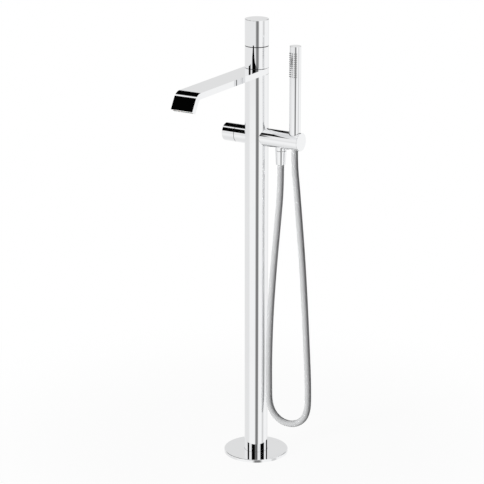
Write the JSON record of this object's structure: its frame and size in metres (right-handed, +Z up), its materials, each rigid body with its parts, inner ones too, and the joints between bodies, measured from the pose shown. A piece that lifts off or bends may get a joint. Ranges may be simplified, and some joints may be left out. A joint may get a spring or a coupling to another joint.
{
  "type": "floor standing bath filler",
  "caption": "Floor standing bath filler: round column on a floor flange, flat swivelling spout, top control knob and a cross arm with diverter knob, hose and stick handset.",
  "frame": {"origin": "centre of the floor plate's bolt circle on the floor, under the column's axis", "axes": "+Z up the column, -Y along the spout, +X along the arm towards the handset"},
  "size_m": [0.2125, 0.3568, 0.9554],
  "materials": {
    "polished_chrome": "polished chrome plate",
    "brass_inside": "machined, bare",
    "plain_steel": "bare stainless steel",
    "black_rubber": "matt",
    "nozzle_silicone": "satin",
    "dark_plastic": "matt",
    "light_plastic": "satin",
    "hose_skin": "silver, smooth, satin sheen"
  },
  "bodies": {
    "column": {"base_plate": "plain_steel", "column_stub": "brass_inside", "flange_cover": "polished_chrome", "flange_seal": "black_rubber", "column_tube": "polished_chrome", "column_lock_screw": "plain_steel", "inlet_block": "brass_inside", "inlet_circlip": "plain_steel", "cold_pipe": "plain_steel", "hot_pipe": "plain_steel", "mixed_water_pipe": "plain_steel", "spout_pipe": "plain_steel", "pipe_seals": "black_rubber", "manifold": "brass_inside", "left_arm_sleeve": "polished_chrome", "diverter_cartridge": "light_plastic", "arm_glide_ring": "dark_plastic", "right_arm": "polished_chrome", "holder_end": "polished_chrome", "holder_liner": "light_plastic", "arm_bolt": "brass_inside", "shower_pipe": "plain_steel", "outlet_block": "brass_inside", "outlet_collar": "polished_chrome", "check_valve": "light_plastic", "hose_nut": "polished_chrome", "hose_washer": "black_rubber", "lower_hose_tail": "polished_chrome", "shower_hose": "hose_skin", "column_head": "brass_inside", "swivel_stop_pin": "plain_steel", "lower_slide_ring": "dark_plastic", "upper_slide_ring": "dark_plastic", "valve_body": "brass_inside", "spout_seals": "black_rubber", "mixer_cartridge": "light_plastic", "cartridge_retainer": "brass_inside", "knob_glide_ring": "dark_plastic", "upper_sleeve": "polished_chrome"},
    "spout": {"spout": "polished_chrome", "spout_outlet": "light_plastic"},
    "control_knob": {"control_knob": "polished_chrome", "knob_screw": "plain_steel", "spline_adapter": "light_plastic", "mixer_spindle": "plain_steel"},
    "diverter": {"diverter_knob": "polished_chrome", "diverter_knob_screw": "plain_steel", "diverter_spindle": "plain_steel"},
    "hose_end": {"upper_hose_tail": "polished_chrome"},
    "handset": {"handset_nut": "polished_chrome", "handset_washer": "black_rubber", "handset_inlet": "brass_inside", "handset_body": "polished_chrome", "handset_cap": "polished_chrome", "spray_strip": "nozzle_silicone", "spray_carrier": "light_plastic", "handset_water_tube": "light_plastic"}
  },
  "joints": [
    {"name": "spout_swivel", "type": "hinge", "parent": "column", "child": "spout", "pos_m": [0, 0, 0.848], "axis": [0, 0, 1], "range_deg": [-60, 60]},
    {"name": "knob_turn", "type": "hinge", "parent": "column", "child": "control_knob", "pos_m": [0, 0, 0.928], "axis": [0, 0, 1], "range_deg": [0, 110]},
    {"name": "diverter_turn", "type": "hinge", "parent": "column", "child": "diverter", "pos_m": [-0.0595, 0, 0.708], "axis": [1, 0, 0], "range_deg": [0, 90]},
    {"name": "handset_lift", "type": "slide", "parent": "column", "child": "hose_end", "axis": [0, 0, 1], "range_m": [0, 0.06]},
    {"name": "handset_turn", "type": "hinge", "parent": "hose_end", "child": "handset", "pos_m": [0.0915, 0, 0.8], "axis": [0, 0, 1], "continuous": true}
  ]
}
